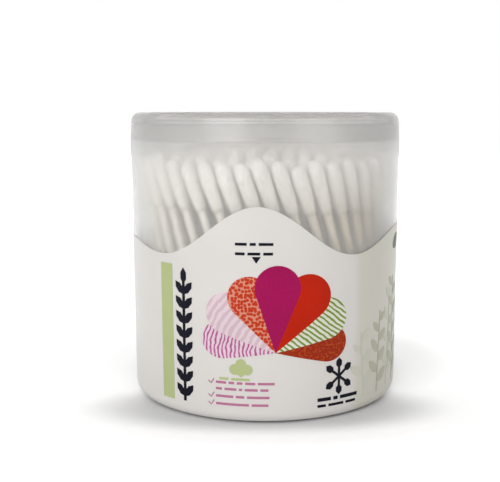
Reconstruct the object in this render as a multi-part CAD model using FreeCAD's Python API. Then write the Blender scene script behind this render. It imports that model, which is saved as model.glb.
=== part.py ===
import FreeCAD, Part
import math
import os

# Round tub of cotton swabs with a hinged lid.
# Millimetres. The origin is the centre of the base, +Z is up and the front faces -Y.
# An azimuth is in degrees about +Z, 0 at the front and positive towards +X.

# Tub shell
SHOULDER_RADIUS = 41.0
WALL_FLARE = 0.5
RIM_DRAW = 0.2
SHOULDER_DROP = 8.0
BASE_CORNER = 3.0
WALL = 1.1
FLOOR = 1.2
INNER_CORNER = 1.6

# Lid
LIP_LAND = 0.8
PARTING_GAP = 0.2
LID_PLATE = 1.2
LID_CORNER = 2.6
LID_TAPER = 0.15
PLUG_DEPTH = 5.0
PLUG_WALL = 0.9
PLUG_CLEARANCE = 0.45
CATCH_PROUD = 0.2
CATCH_HEIGHT = 1.4
CATCH_ANGLE = 36.0

# Film hinge at the back
HINGE_WIDTH = 16.0
HINGE_LAND = 2.0
HINGE_ROOT = 0.15

# Wrapped label and its print
LABEL_WRAP_ANGLE = 50.0
LABEL_FILM = 0.12
PRINT_CLEARANCE = 0.02
INK = 0.06
EDGE_HEIGHT = 50.6
EDGE_CENTRE = -2.2
EDGE_WAVE_TWO = 3.0
EDGE_WAVE_FOUR = 4.5
EDGE_WAVE_SIX = 1.85
EDGE_SLOPE_ONE = 1.2
EDGE_SLOPE_THREE = 0.9
EDGE_POINTS = 36
CUT_MARGIN = 1.0

# Printed flower
FLOWER_AZIMUTH = 4.0
FLOWER_Z = 20.2
PETAL_LENGTH = 24.0
PETAL_WIDTH = 12.5
SIDE_LENGTH = 22.6
SIDE_WIDTH = 11.75
OUTER_LENGTH = 20.2
OUTER_WIDTH = 10.5

# Petals from the front one to those behind: ink, lean in degrees, length and width
PETALS = (
    ("ink_magenta", 2.0, PETAL_LENGTH, PETAL_WIDTH),
    ("ink_vermilion", 31.0, PETAL_LENGTH, PETAL_WIDTH),
    ("ink_orange", -25.0, SIDE_LENGTH, SIDE_WIDTH),
    ("ink_leaf_green", 58.0, SIDE_LENGTH, SIDE_WIDTH),
    ("ink_blush", -50.0, SIDE_LENGTH, SIDE_WIDTH),
    ("ink_rust", 83.0, OUTER_LENGTH, OUTER_WIDTH),
    ("ink_pink", -77.0, OUTER_LENGTH, OUTER_WIDTH),
)

# Other printed fields
BAR_AZIMUTH = -42.3
BAR_Z = 23.8
BAR_WIDTH = 4.6
BAR_HEIGHT = 39.0
VINE_AZIMUTH = -33.4
VINE_Z = 4.6
VINE_LENGTH = 38.0
VINE_PAIRS = 8
VINE_LEAF = 4.6
VINE_LEAF_WIDTH = 1.9
VINE_STEM = 0.9
VINE_LEAN = 38.0
VINE_START = 1.25
LEAF_TAPER = 0.3
ARROW_AZIMUTH = -3.3
ARROW_Z = 44.8
ARROW_WIDTH = 2.4
ARROW_HEIGHT = 1.8
BOLL_AZIMUTH = -9.3
BOLL_Z = 15.4
BOLL_RADIUS = 1.5
BOLL_SPREAD = 1.75
BOLL_LEAF = 3.2
BOLL_LEAF_WIDTH = 3.0
BOLL_STALK = 2.1
CROSS_AZIMUTH = 30.4
CROSS_Z = 12.1
CROSS_LENGTH = 10.6
CROSS_STICK = 0.75
CROSS_TIP = 3.0
CROSS_TIP_WIDTH = 1.9
CROSS_LAP = 0.5
CROSS_ANGLES = (-52.0, 0.0, 52.0)

# Swabs
SWAB_LENGTH = 74.5
TIP_LENGTH = 15.0
TIP_RADIUS = 2.2
TIP_ROOT_RADIUS = 1.5
TIP_DOME = 2.4
STICK_RADIUS = 1.15
RING_GAP = 0.35
SIDE_GAP = 0.44
OUTER_SIDE_GAP = 1.05
WALL_CLEARANCE = 0.4
HEADROOM = 7.9
SEAT_CLEARANCE = 0.1
TWIST = -38.0
LEAN_VARIATION = 2.0
LEAN_PHASE = 97.0
STICK_SIDES = 3
TIP_SIDES = 5

# Heights and radii that follow from the sizes above
BASE_RADIUS = SHOULDER_RADIUS - WALL_FLARE
RIM_RADIUS = SHOULDER_RADIUS - RIM_DRAW
TUB_HEIGHT = FLOOR + SEAT_CLEARANCE + SWAB_LENGTH + HEADROOM + LID_PLATE
PARTING_Z = TUB_HEIGHT - LID_CORNER - LIP_LAND
RIM_Z = PARTING_Z - PARTING_GAP / 2
LIP_Z = PARTING_Z + PARTING_GAP / 2
SHOULDER_Z = TUB_HEIGHT - SHOULDER_DROP
PLUG_RADIUS = RIM_RADIUS - WALL - PLUG_CLEARANCE
PLUG_Z = LIP_Z - PLUG_DEPTH
HINGE_Y = SHOULDER_RADIUS
OUTER_RING = BASE_RADIUS - WALL - WALL_CLEARANCE - TIP_RADIUS
RING_PITCH = 2 * TIP_RADIUS + RING_GAP

UP = FreeCAD.Vector(0, 0, 1)
CENTRE = FreeCAD.Vector(0, 0, 0)


def turned(profile, angle=360.0):
    """Solid of revolution from profile points (radius, z), where three points give an arc."""
    edges = []
    for piece in profile:
        points = [FreeCAD.Vector(radius, 0, z) for radius, z in piece]
        if len(points) == 3:
            edges.append(Part.Arc(*points).toShape())
        else:
            edges.append(Part.makeLine(*points))
    face = Part.Face(Part.Wire(edges))
    return face.revolve(CENTRE, UP, angle)


def chain(points):
    """Straight profile pieces through the points, closed back to the first."""
    return [(a, b) for a, b in zip(points, points[1:] + points[:1])]


def corner_middle(centre_radius, centre_z, radius, degrees):
    """The point of a rounded corner in the given direction from its centre."""
    angle = math.radians(degrees)
    return (centre_radius + radius * math.cos(angle), centre_z + radius * math.sin(angle))


def wall_radius(z):
    """Outer radius of the tub between its base corner and its shoulder."""
    share = (z - BASE_CORNER) / (SHOULDER_Z - BASE_CORNER)
    return BASE_RADIUS + (SHOULDER_RADIUS - BASE_RADIUS) * share


def hinge_land(low_z, high_z):
    """Flat land at the back rim that one half of the film hinge grows from."""
    inner_y = RIM_RADIUS - WALL + HINGE_ROOT
    corner = FreeCAD.Vector(-HINGE_WIDTH / 2, inner_y, low_z)
    return Part.makeBox(HINGE_WIDTH, HINGE_Y - inner_y, high_z - low_z, corner)


def tub_body():
    """Thin moulded tub: flat base, rounded corner, slightly flared wall and drawn-in rim."""
    floor_radius = BASE_RADIUS - BASE_CORNER
    inner_base = BASE_RADIUS - WALL
    bend = corner_middle(floor_radius, BASE_CORNER, BASE_CORNER, -45)
    profile = [
        ((0, 0), (floor_radius, 0)),
        ((floor_radius, 0), bend, (BASE_RADIUS, BASE_CORNER)),
        ((BASE_RADIUS, BASE_CORNER), (SHOULDER_RADIUS, SHOULDER_Z)),
        ((SHOULDER_RADIUS, SHOULDER_Z), (RIM_RADIUS, RIM_Z)),
        ((RIM_RADIUS, RIM_Z), (RIM_RADIUS - WALL, RIM_Z)),
        ((RIM_RADIUS - WALL, RIM_Z), (SHOULDER_RADIUS - WALL, SHOULDER_Z)),
        ((SHOULDER_RADIUS - WALL, SHOULDER_Z), (inner_base, FLOOR + INNER_CORNER)),
        ((inner_base, FLOOR + INNER_CORNER), (inner_base - INNER_CORNER, FLOOR)),
        ((inner_base - INNER_CORNER, FLOOR), (0, FLOOR)),
        ((0, FLOOR), (0, 0)),
    ]
    return turned(profile).fuse(hinge_land(RIM_Z - HINGE_LAND, RIM_Z))


def lid():
    """Moulded lid: flat plate with a rounded edge, a plug ring and a catch at its front."""
    top_radius = RIM_RADIUS - LID_TAPER
    corner_z = TUB_HEIGHT - LID_CORNER
    bend = corner_middle(top_radius - LID_CORNER, corner_z, LID_CORNER, 45)
    under_z = TUB_HEIGHT - LID_PLATE
    inner_radius = PLUG_RADIUS - PLUG_WALL
    profile = [
        ((0, TUB_HEIGHT), (top_radius - LID_CORNER, TUB_HEIGHT)),
        ((top_radius - LID_CORNER, TUB_HEIGHT), bend, (top_radius, corner_z)),
        ((top_radius, corner_z), (RIM_RADIUS, LIP_Z)),
        ((RIM_RADIUS, LIP_Z), (PLUG_RADIUS, LIP_Z)),
        ((PLUG_RADIUS, LIP_Z), (PLUG_RADIUS, PLUG_Z)),
        ((PLUG_RADIUS, PLUG_Z), (inner_radius, PLUG_Z)),
        ((inner_radius, PLUG_Z), (inner_radius, under_z)),
        ((inner_radius, under_z), (0, under_z)),
        ((0, under_z), (0, TUB_HEIGHT)),
    ]
    catch_root = PLUG_RADIUS - PLUG_WALL / 2
    catch_points = [
        (catch_root, PLUG_Z),
        (PLUG_RADIUS, PLUG_Z),
        (PLUG_RADIUS + CATCH_PROUD, PLUG_Z + CATCH_HEIGHT / 2),
        (PLUG_RADIUS, PLUG_Z + CATCH_HEIGHT),
        (catch_root, PLUG_Z + CATCH_HEIGHT),
    ]
    catch = turned(chain(catch_points), CATCH_ANGLE)
    catch.rotate(CENTRE, UP, -90 - CATCH_ANGLE / 2)
    land = hinge_land(LIP_Z, LIP_Z + HINGE_LAND)
    return turned(profile).fuse([catch, land])


def wrap_shell(inside, thickness, low_z, high_z):
    """Thin sleeve round the tub wall, its inner face a given distance outside the wall."""
    low_radius = wall_radius(low_z) + inside
    high_radius = wall_radius(high_z) + inside
    points = [
        (low_radius, low_z),
        (low_radius + thickness, low_z),
        (high_radius + thickness, high_z),
        (high_radius, high_z),
    ]
    return turned(chain(points))


def edge_height(azimuth):
    """Height of the label's wavy upper edge, which ends a little lower on the left."""
    turn = math.radians(azimuth - EDGE_CENTRE)
    wave = EDGE_WAVE_TWO * math.cos(2 * turn)
    wave += EDGE_WAVE_FOUR * math.cos(4 * turn)
    wave += EDGE_WAVE_SIX * math.cos(6 * turn)
    slope = EDGE_SLOPE_ONE * math.sin(turn) - EDGE_SLOPE_THREE * math.sin(3 * turn)
    return EDGE_HEIGHT + wave + slope


def wavy_loop(radius):
    """Closed curve at the label's edge height on a cylinder of the given radius."""
    points = []
    for step in range(EDGE_POINTS):
        azimuth = 360.0 * step / EDGE_POINTS
        turn = math.radians(azimuth)
        place = FreeCAD.Vector(radius * math.sin(turn), -radius * math.cos(turn), edge_height(azimuth))
        points.append(place)
    curve = Part.BSplineCurve()
    curve.interpolate(Points=points, PeriodicFlag=True)
    return curve.toShape()


def corner_band():
    """The label's lowest band, which follows the rounded corner of the base."""
    centre = BASE_RADIUS - BASE_CORNER
    outside = BASE_CORNER + LABEL_FILM
    half = LABEL_WRAP_ANGLE / 2
    inner_low = corner_middle(centre, BASE_CORNER, BASE_CORNER, -LABEL_WRAP_ANGLE)
    inner_middle = corner_middle(centre, BASE_CORNER, BASE_CORNER, -half)
    outer_low = corner_middle(centre, BASE_CORNER, outside, -LABEL_WRAP_ANGLE)
    outer_middle = corner_middle(centre, BASE_CORNER, outside, -half)
    inner_high = (BASE_RADIUS, BASE_CORNER)
    outer_high = (BASE_RADIUS + LABEL_FILM, BASE_CORNER)
    return turned([
        (inner_low, outer_low),
        (outer_low, outer_middle, outer_high),
        (outer_high, inner_high),
        (inner_high, inner_middle, inner_low),
    ])


def label():
    """Film label round the wall and into the base corner, with a wavy upper edge."""
    highest = EDGE_HEIGHT + EDGE_WAVE_TWO + EDGE_WAVE_FOUR + EDGE_WAVE_SIX
    highest += EDGE_SLOPE_ONE + EDGE_SLOPE_THREE + CUT_MARGIN
    sleeve = wrap_shell(0, LABEL_FILM, BASE_CORNER, highest)
    ribbon = Part.makeRuledSurface(wavy_loop(BASE_RADIUS - WALL), wavy_loop(SHOULDER_RADIUS + WALL))
    below = ribbon.extrude(FreeCAD.Vector(0, 0, -highest))
    return sleeve.common(below).fuse(corner_band())


def outline_face(pieces):
    """Flat face from lines and arcs given as points (across, up)."""
    edges = []
    for piece in pieces:
        points = [FreeCAD.Vector(across, 0, up) for across, up in piece]
        if len(points) == 3:
            edges.append(Part.Arc(*points).toShape())
        else:
            edges.append(Part.makeLine(*points))
    return Part.Face(Part.Wire(edges))


def leaf(length, width):
    """Pointed leaf with six straight sides, growing up from its stalk."""
    half = width / 2
    low = length * LEAF_TAPER
    high = length - low
    return outline_face(chain([
        (0, 0), (half, low), (half, high), (0, length), (-half, high), (-half, low),
    ]))


def petal(length, width):
    """Drop-shaped petal with straight sides that meet at its foot and a round end."""
    radius = width / 2
    centre = length - radius
    spread = math.asin(radius / centre)
    side = radius * math.cos(spread)
    shoulder = centre - radius * math.sin(spread)
    return outline_face([
        ((0, 0), (side, shoulder)),
        ((side, shoulder), (0, length), (-side, shoulder)),
        ((-side, shoulder), (0, 0)),
    ])


def rectangle(width, height):
    """Upright rectangle standing on its middle."""
    half = width / 2
    return outline_face(chain([(-half, 0), (half, 0), (half, height), (-half, height)]))


def disc(radius, across=0.0, up=0.0):
    """Round face about the given point."""
    return outline_face([
        ((across - radius, up), (across, up + radius), (across + radius, up)),
        ((across + radius, up), (across, up - radius), (across - radius, up)),
    ])


def tilted(face, degrees, across=0.0, up=0.0):
    """The face leaned clockwise, as seen from the front, and moved."""
    turned_face = face.copy()
    turned_face.rotate(CENTRE, FreeCAD.Vector(0, 1, 0), degrees)
    turned_face.translate(FreeCAD.Vector(across, 0, up))
    return turned_face


def branch(length, pairs, leaf_length, leaf_width, stem):
    """Upright stem with leaf pairs at even steps and a leaf at its top."""
    faces = [rectangle(stem, length - leaf_length / 2)]
    faces.append(tilted(leaf(leaf_length, leaf_width), 0, 0, length - leaf_length))
    step = (length - leaf_length) / pairs
    for pair in range(pairs):
        for lean in (-VINE_LEAN, VINE_LEAN):
            faces.append(tilted(leaf(leaf_length, leaf_width), lean, 0, step * pair + VINE_START))
    return faces


def stamp(faces, azimuth, z):
    """Print the faces on the label: their outline pressed through a thin sleeve of ink."""
    depth = SHOULDER_RADIUS
    prisms = []
    for face in faces:
        prism = face.extrude(FreeCAD.Vector(0, depth, 0))
        prism.translate(FreeCAD.Vector(0, -SHOULDER_RADIUS - WALL, z))
        prism.rotate(CENTRE, UP, azimuth)
        prisms.append(prism)
    block = prisms[0]
    if len(prisms) > 1:
        block = block.fuse(prisms[1:]).removeSplitter()
    box = block.BoundBox
    lift = LABEL_FILM + PRINT_CLEARANCE
    ink = wrap_shell(lift, INK, box.ZMin - CUT_MARGIN, box.ZMax + CUT_MARGIN)
    return block.common(ink)


def navy_print():
    """Dark fields: the leafy ornament, the arrow and the crossed swabs."""
    vine = branch(VINE_LENGTH, VINE_PAIRS, VINE_LEAF, VINE_LEAF_WIDTH, VINE_STEM)
    half = ARROW_WIDTH / 2
    arrow = outline_face(chain([(-half, ARROW_HEIGHT), (half, ARROW_HEIGHT), (0, 0)]))
    reach = CROSS_LENGTH / 2 - CROSS_TIP
    cross = []
    for lean in CROSS_ANGLES:
        stick = rectangle(CROSS_STICK, 2 * (reach + CROSS_LAP))
        cross.append(tilted(tilted(stick, 0, 0, -reach - CROSS_LAP), lean))
        for end in (reach, -reach - CROSS_TIP):
            cross.append(tilted(tilted(leaf(CROSS_TIP, CROSS_TIP_WIDTH), 0, 0, end), lean))
    return [
        stamp(vine, VINE_AZIMUTH, VINE_Z),
        stamp([arrow], ARROW_AZIMUTH, ARROW_Z),
        stamp(cross, CROSS_AZIMUTH, CROSS_Z),
    ]


def green_print():
    """Pale green fields: the upright bar and the cotton boll on its leaf."""
    bar = tilted(rectangle(BAR_WIDTH, BAR_HEIGHT), 0, 0, -BAR_HEIGHT / 2)
    lobes = [
        disc(BOLL_RADIUS, -BOLL_SPREAD, 0),
        disc(BOLL_RADIUS, BOLL_SPREAD, 0),
        disc(BOLL_RADIUS, 0, BOLL_RADIUS),
        tilted(leaf(BOLL_LEAF, BOLL_LEAF_WIDTH), 0, 0, -BOLL_STALK),
    ]
    return [stamp([bar], BAR_AZIMUTH, BAR_Z), stamp(lobes, BOLL_AZIMUTH, BOLL_Z)]


def printed_fields():
    """All printed fields by name, each petal cut back by what is printed in front of it."""
    fields = {
        "ink_navy": Part.makeCompound(navy_print()),
        "ink_pale_green": Part.makeCompound(green_print()),
    }
    for name, lean, length, width in PETALS:
        field = stamp([tilted(petal(length, width), lean)], FLOWER_AZIMUTH, FLOWER_Z)
        for front in fields.values():
            field = field.cut(front)
        fields[name] = field
    return fields


def prism_solid(levels, sides):
    """Closed solid with flat faces through rings of corners, given as (radius, height).

    A radius of 0 gives a point."""
    rings = []
    for radius, height in levels:
        if radius == 0:
            rings.append([FreeCAD.Vector(0, 0, height)])
            continue
        ring = []
        for side in range(sides):
            turn = 2 * math.pi * side / sides
            ring.append(FreeCAD.Vector(radius * math.cos(turn), radius * math.sin(turn), height))
        rings.append(ring)
    faces = []
    for low, high in zip(rings, rings[1:]):
        for side in range(sides):
            after = (side + 1) % sides
            corners = [low[side], low[after]]
            if len(high) == 1:
                corners.append(high[0])
            else:
                corners += [high[after], high[side]]
            faces.append(Part.Face(Part.makePolygon(corners + corners[:1])))
    for ring in (rings[0], rings[-1]):
        if len(ring) > 1:
            faces.append(Part.Face(Part.makePolygon(ring + ring[:1])))
    return Part.Solid(Part.Shell(faces))


def ring_point(radius, azimuth, z):
    """Point at an azimuth on a circle about the tub's axis."""
    turn = math.radians(azimuth)
    return FreeCAD.Vector(radius * math.sin(turn), -radius * math.cos(turn), z)


def ring_radii():
    """Radii of the rings of swabs, from the wall inwards."""
    return [OUTER_RING - ring * RING_PITCH for ring in range(int(OUTER_RING / RING_PITCH) + 1)]


def ring_count(ring):
    """How many swabs stand side by side in a ring, loosest in the one along the wall."""
    spacing = 2 * TIP_RADIUS + (OUTER_SIDE_GAP if ring == 0 else SIDE_GAP)
    radius = ring_radii()[ring]
    if radius <= spacing / 2:
        return 1
    return int(math.pi / math.asin(spacing / (2 * radius)))


def swab_axis(ring, index):
    """Foot and direction of one swab: all lean round the tub the same way."""
    radius = ring_radii()[ring]
    azimuth = 360.0 * (index + 0.5 * (ring % 2)) / ring_count(ring)
    variation = LEAN_VARIATION if ring == 0 else 0.0
    sway = variation * math.sin(math.radians(2 * azimuth))
    counter_sway = variation * math.sin(math.radians(2 * azimuth + LEAN_PHASE))
    foot = ring_point(radius, azimuth + sway, FLOOR + SEAT_CLEARANCE)
    head = ring_point(radius, azimuth + TWIST + counter_sway, FLOOR + SEAT_CLEARANCE)
    span = (head - foot).Length
    head.z += math.sqrt(SWAB_LENGTH ** 2 - span ** 2)
    return foot, (head - foot).normalize()


def swab_ring(ring):
    """Sticks and cotton tips of one ring of swabs, as groups of separate solids."""
    tip = prism_solid([
        (TIP_ROOT_RADIUS, 0),
        (TIP_RADIUS, TIP_LENGTH - TIP_DOME),
        (0, TIP_LENGTH),
    ], TIP_SIDES)
    bare = SWAB_LENGTH - 2 * TIP_LENGTH
    stick = prism_solid([(STICK_RADIUS, 0), (STICK_RADIUS, bare)], STICK_SIDES)
    sticks = []
    tips = []
    for index in range(ring_count(ring)):
        foot, along = swab_axis(ring, index)
        upright = FreeCAD.Rotation(UP, along)
        inverted = FreeCAD.Rotation(UP, along * -1)
        low_root = foot + along * TIP_LENGTH
        high_root = foot + along * (TIP_LENGTH + bare)
        sticks.append(stick.transformed(FreeCAD.Placement(low_root, upright).toMatrix()))
        tips.append(tip.transformed(FreeCAD.Placement(low_root, inverted).toMatrix()))
        tips.append(tip.transformed(FreeCAD.Placement(high_root, upright).toMatrix()))
    return Part.makeCompound(sticks), Part.makeCompound(tips)


def save(name, shape):
    """Write one sub-part."""
    shape.exportStep("parts/" + name + ".step")


os.makedirs("parts", exist_ok=True)
save("tub_body", tub_body())
save("lid", lid())
save("label", label())
for ink_name, ink_field in printed_fields().items():
    save(ink_name, ink_field)
for ring_number in range(len(ring_radii())):
    ring_sticks, ring_tips = swab_ring(ring_number)
    save("swab_sticks_ring_%d" % (ring_number + 1), ring_sticks)
    save("cotton_tips_ring_%d" % (ring_number + 1), ring_tips)
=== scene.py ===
import logging
import math
import random
from dataclasses import dataclass
from enum import Enum
from typing import Callable, Iterable, Optional, Union

import bmesh
import bpy
from mathutils import Matrix, Vector


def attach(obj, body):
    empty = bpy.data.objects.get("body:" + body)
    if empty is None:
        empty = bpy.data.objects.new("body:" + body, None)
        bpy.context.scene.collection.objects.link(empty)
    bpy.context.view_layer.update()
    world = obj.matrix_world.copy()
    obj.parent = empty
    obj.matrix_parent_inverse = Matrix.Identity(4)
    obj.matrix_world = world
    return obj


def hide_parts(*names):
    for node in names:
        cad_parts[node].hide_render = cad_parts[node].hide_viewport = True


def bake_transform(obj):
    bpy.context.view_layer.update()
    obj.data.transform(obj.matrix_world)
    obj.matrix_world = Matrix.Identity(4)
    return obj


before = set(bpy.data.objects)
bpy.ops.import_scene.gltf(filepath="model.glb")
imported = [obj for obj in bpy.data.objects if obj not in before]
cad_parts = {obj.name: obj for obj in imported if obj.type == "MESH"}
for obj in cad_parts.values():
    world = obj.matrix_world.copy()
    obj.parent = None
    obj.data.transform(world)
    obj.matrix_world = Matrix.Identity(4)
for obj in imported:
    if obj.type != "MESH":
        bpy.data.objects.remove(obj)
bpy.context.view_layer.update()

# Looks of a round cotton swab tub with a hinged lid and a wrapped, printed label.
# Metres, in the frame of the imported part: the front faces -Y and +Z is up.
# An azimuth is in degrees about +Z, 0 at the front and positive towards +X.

log = logging.getLogger("cotton_swab_tub")

Socket = bpy.types.NodeSocket
Value = Union[float, Socket]
Colour = tuple[int, int, int]

MM = 0.001
WALL_RADIUS = 41.0 * MM
WALL_FLARE = 0.5 * MM
WALL_LOW = 3.0 * MM
WALL_HIGH = 76.9 * MM
LABEL_FILM = 0.12 * MM
HINGE_HEIGHT = 81.5 * MM
HINGE_WIDTH = 16.0 * MM


def linear(colour: Colour) -> tuple[float, float, float, float]:
    """Linear colour of a screen colour.

    Args:
        colour: Red, green and blue from 0 to 255.

    Returns:
        Linear red, green, blue and an alpha of 1.
    """
    parts = [((c / 255 + 0.055) / 1.055) ** 2.4 if c > 10 else c / 255 / 12.92 for c in colour]
    return (parts[0], parts[1], parts[2], 1.0)


def grey(level: float) -> tuple[float, float, float, float]:
    """Linear grey of a level from 0 to 1, with an alpha of 1."""
    return (level, level, level, 1.0)


def label_radius(height: float) -> float:
    """Radius of the label's outer face at a height.

    Args:
        height: Height above the base, in metres.

    Returns:
        The radius in metres.
    """
    share = (height - WALL_LOW) / (WALL_HIGH - WALL_LOW)
    return WALL_RADIUS - WALL_FLARE * (1 - share) + LABEL_FILM


# Shader nodes

class ShaderDesk:
    """Adds and joins the nodes of one node tree."""

    def __init__(self, tree: bpy.types.NodeTree) -> None:
        """Keeps the tree that the nodes go into."""
        self.tree = tree

    def add(self, kind: str, **settings: object) -> bpy.types.Node:
        """Adds a node.

        Args:
            kind: Blender's name of the node type.
            **settings: Properties of the node.

        Returns:
            The node.
        """
        node = self.tree.nodes.new(kind)
        for name, setting in settings.items():
            setattr(node, name, setting)
        return node

    def feed(self, socket: Socket, value: object) -> None:
        """Links a socket into another, or sets its own value.

        Args:
            socket: The socket that is fed.
            value: A socket, or a plain value.
        """
        if isinstance(value, bpy.types.NodeSocket):
            self.tree.links.new(value, socket)
        else:
            socket.default_value = value

    def math(self, operation: str, first: Value, second: Value = 0.0, third: Value = 0.0) -> Socket:
        """Adds a Math node.

        Args:
            operation: Name of the operation.
            first: First value.
            second: Second value, where the operation has one.
            third: Third value, where the operation has one.

        Returns:
            The result.
        """
        node = self.add("ShaderNodeMath", operation=operation)
        for socket, value in zip(node.inputs, (first, second, third)):
            self.feed(socket, value)
        return node.outputs[0]

    def spread(self, value: Value, low: float, high: float, start: float = 0.0, end: float = 1.0) -> Socket:
        """Maps a value smoothly from one range to another.

        Args:
            value: The value.
            low: Value that gives start.
            high: Value that gives end.
            start: Result at low.
            end: Result at high.

        Returns:
            The mapped value.
        """
        node = self.add("ShaderNodeMapRange", interpolation_type="SMOOTHSTEP")
        for socket, setting in zip(node.inputs, (value, low, high, start, end)):
            self.feed(socket, setting)
        return node.outputs[0]

    def blend(self, share: Value, first: object, second: object, how: str = "MIX") -> Socket:
        """Mixes two colours.

        Args:
            share: Share of the second colour.
            first: First colour.
            second: Second colour.
            how: Blend mode.

        Returns:
            The mixed colour.
        """
        node = self.add("ShaderNodeMix", data_type="RGBA", blend_type=how)
        self.feed(node.inputs["Factor"], share)
        self.feed(node.inputs[6], first)
        self.feed(node.inputs[7], second)
        return node.outputs[2]

    def noise(self, scale: float, detail: float = 2.0, place: Optional[Socket] = None) -> Socket:
        """Adds smooth noise on Object coordinates, or on a given place.

        Args:
            scale: Features per metre, or per unit of the place.
            detail: Octaves of detail.
            place: Where the noise is read.

        Returns:
            A value about 0.5.
        """
        node = self.add("ShaderNodeTexNoise")
        self.feed(node.inputs["Vector"], place if place is not None else self.object_place())
        node.inputs["Scale"].default_value = scale
        node.inputs["Detail"].default_value = detail
        return node.outputs["Fac"]

    def long_noise(self, scale: float, detail: float, stretch: float) -> Socket:
        """Adds noise on Object coordinates, drawn out along Z.

        Args:
            scale: Features per metre across.
            detail: Octaves of detail.
            stretch: Share of the scale that holds along Z.

        Returns:
            A value about 0.5.
        """
        drawn = self.add("ShaderNodeMapping")
        self.feed(drawn.inputs["Vector"], self.object_place())
        drawn.inputs["Scale"].default_value = (1.0, 1.0, stretch)
        return self.noise(scale, detail, drawn.outputs[0])

    def object_place(self) -> Socket:
        """Object coordinates."""
        return self.add("ShaderNodeTexCoord").outputs["Object"]


def shader_group(name: str, inputs: dict[str, object], outputs: dict[str, str]) -> tuple[
        bpy.types.NodeTree, bpy.types.Node, bpy.types.Node]:
    """Makes an empty shader group with named sockets.

    Args:
        name: Name of the group.
        inputs: Name and starting value of each input; a tuple is a colour.
        outputs: Name and socket type of each output.

    Returns:
        The group, its input node and its output node.
    """
    group = bpy.data.node_groups.new(name, "ShaderNodeTree")
    for label, start in inputs.items():
        kind = "NodeSocketColor" if isinstance(start, tuple) else "NodeSocketFloat"
        socket = group.interface.new_socket(label, in_out="INPUT", socket_type=kind)
        socket.default_value = start
    for label, kind in outputs.items():
        group.interface.new_socket(label, in_out="OUTPUT", socket_type=kind)
    return group, group.nodes.new("NodeGroupInput"), group.nodes.new("NodeGroupOutput")


class WallPlace:
    """Node group: arc length round the wall from the front, and height, both in millimetres."""

    def __init__(self) -> None:
        """Builds the group once."""
        self.group, _, result = shader_group(
            "WallPlace", {}, {"Arc": "NodeSocketFloat", "Height": "NodeSocketFloat"})
        desk = ShaderDesk(self.group)
        split = desk.add("ShaderNodeSeparateXYZ")
        desk.feed(split.inputs[0], desk.object_place())
        back = desk.math("MULTIPLY", split.outputs["Y"], -1.0)
        turn = desk.math("ARCTAN2", split.outputs["X"], back)
        desk.feed(result.inputs["Arc"], desk.math("MULTIPLY", turn, WALL_RADIUS / MM))
        desk.feed(result.inputs["Height"], desk.math("MULTIPLY", split.outputs["Z"], 1 / MM))

    def place(self, desk: ShaderDesk) -> tuple[Socket, Socket]:
        """Places the group in a material.

        Args:
            desk: The material's desk.

        Returns:
            Arc length and height.
        """
        node = desk.add("ShaderNodeGroup", node_tree=self.group)
        return node.outputs["Arc"], node.outputs["Height"]

    def vector(self, desk: ShaderDesk) -> Socket:
        """Places the group in a material as one vector.

        Args:
            desk: The material's desk.

        Returns:
            Arc length as X and height as Y.
        """
        arc, height = self.place(desk)
        joined = desk.add("ShaderNodeCombineXYZ")
        desk.feed(joined.inputs["X"], arc)
        desk.feed(joined.inputs["Y"], height)
        return joined.outputs[0]


class BundleShadeMasks:
    """Node group: painted-shade masks that rise towards the right side of the swabs and on their inner rows.
    """

    right_shade_span: tuple[float, float] = (-12.0, 34.0)
    inner_shade_span: tuple[float, float] = (31.5 * MM, 36.0 * MM)

    def __init__(self, wall: WallPlace) -> None:
        """Builds the group once.

        Args:
            wall: The group that gives the arc length.
        """
        self.group, _, result = shader_group(
            "BundleShadeMasks", {}, {"Right": "NodeSocketFloat", "Inner": "NodeSocketFloat"})
        desk = ShaderDesk(self.group)
        arc, _ = wall.place(desk)
        desk.feed(result.inputs["Right"], desk.spread(arc, *self.right_shade_span))
        flat = desk.add("ShaderNodeMapping")
        desk.feed(flat.inputs["Vector"], desk.object_place())
        flat.inputs["Scale"].default_value = (1.0, 1.0, 0.0)
        reach = desk.add("ShaderNodeVectorMath", operation="LENGTH")
        desk.feed(reach.inputs[0], flat.outputs[0])
        desk.feed(result.inputs["Inner"], desk.spread(reach.outputs["Value"], *self.inner_shade_span, 1.0, 0.0))

    def place(self, desk: ShaderDesk) -> tuple[Socket, Socket]:
        """Places the group in a material.

        Args:
            desk: The material's desk.

        Returns:
            Masks of the right side and of the inner rows.
        """
        node = desk.add("ShaderNodeGroup", node_tree=self.group)
        return node.outputs["Right"], node.outputs["Inner"]


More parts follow.
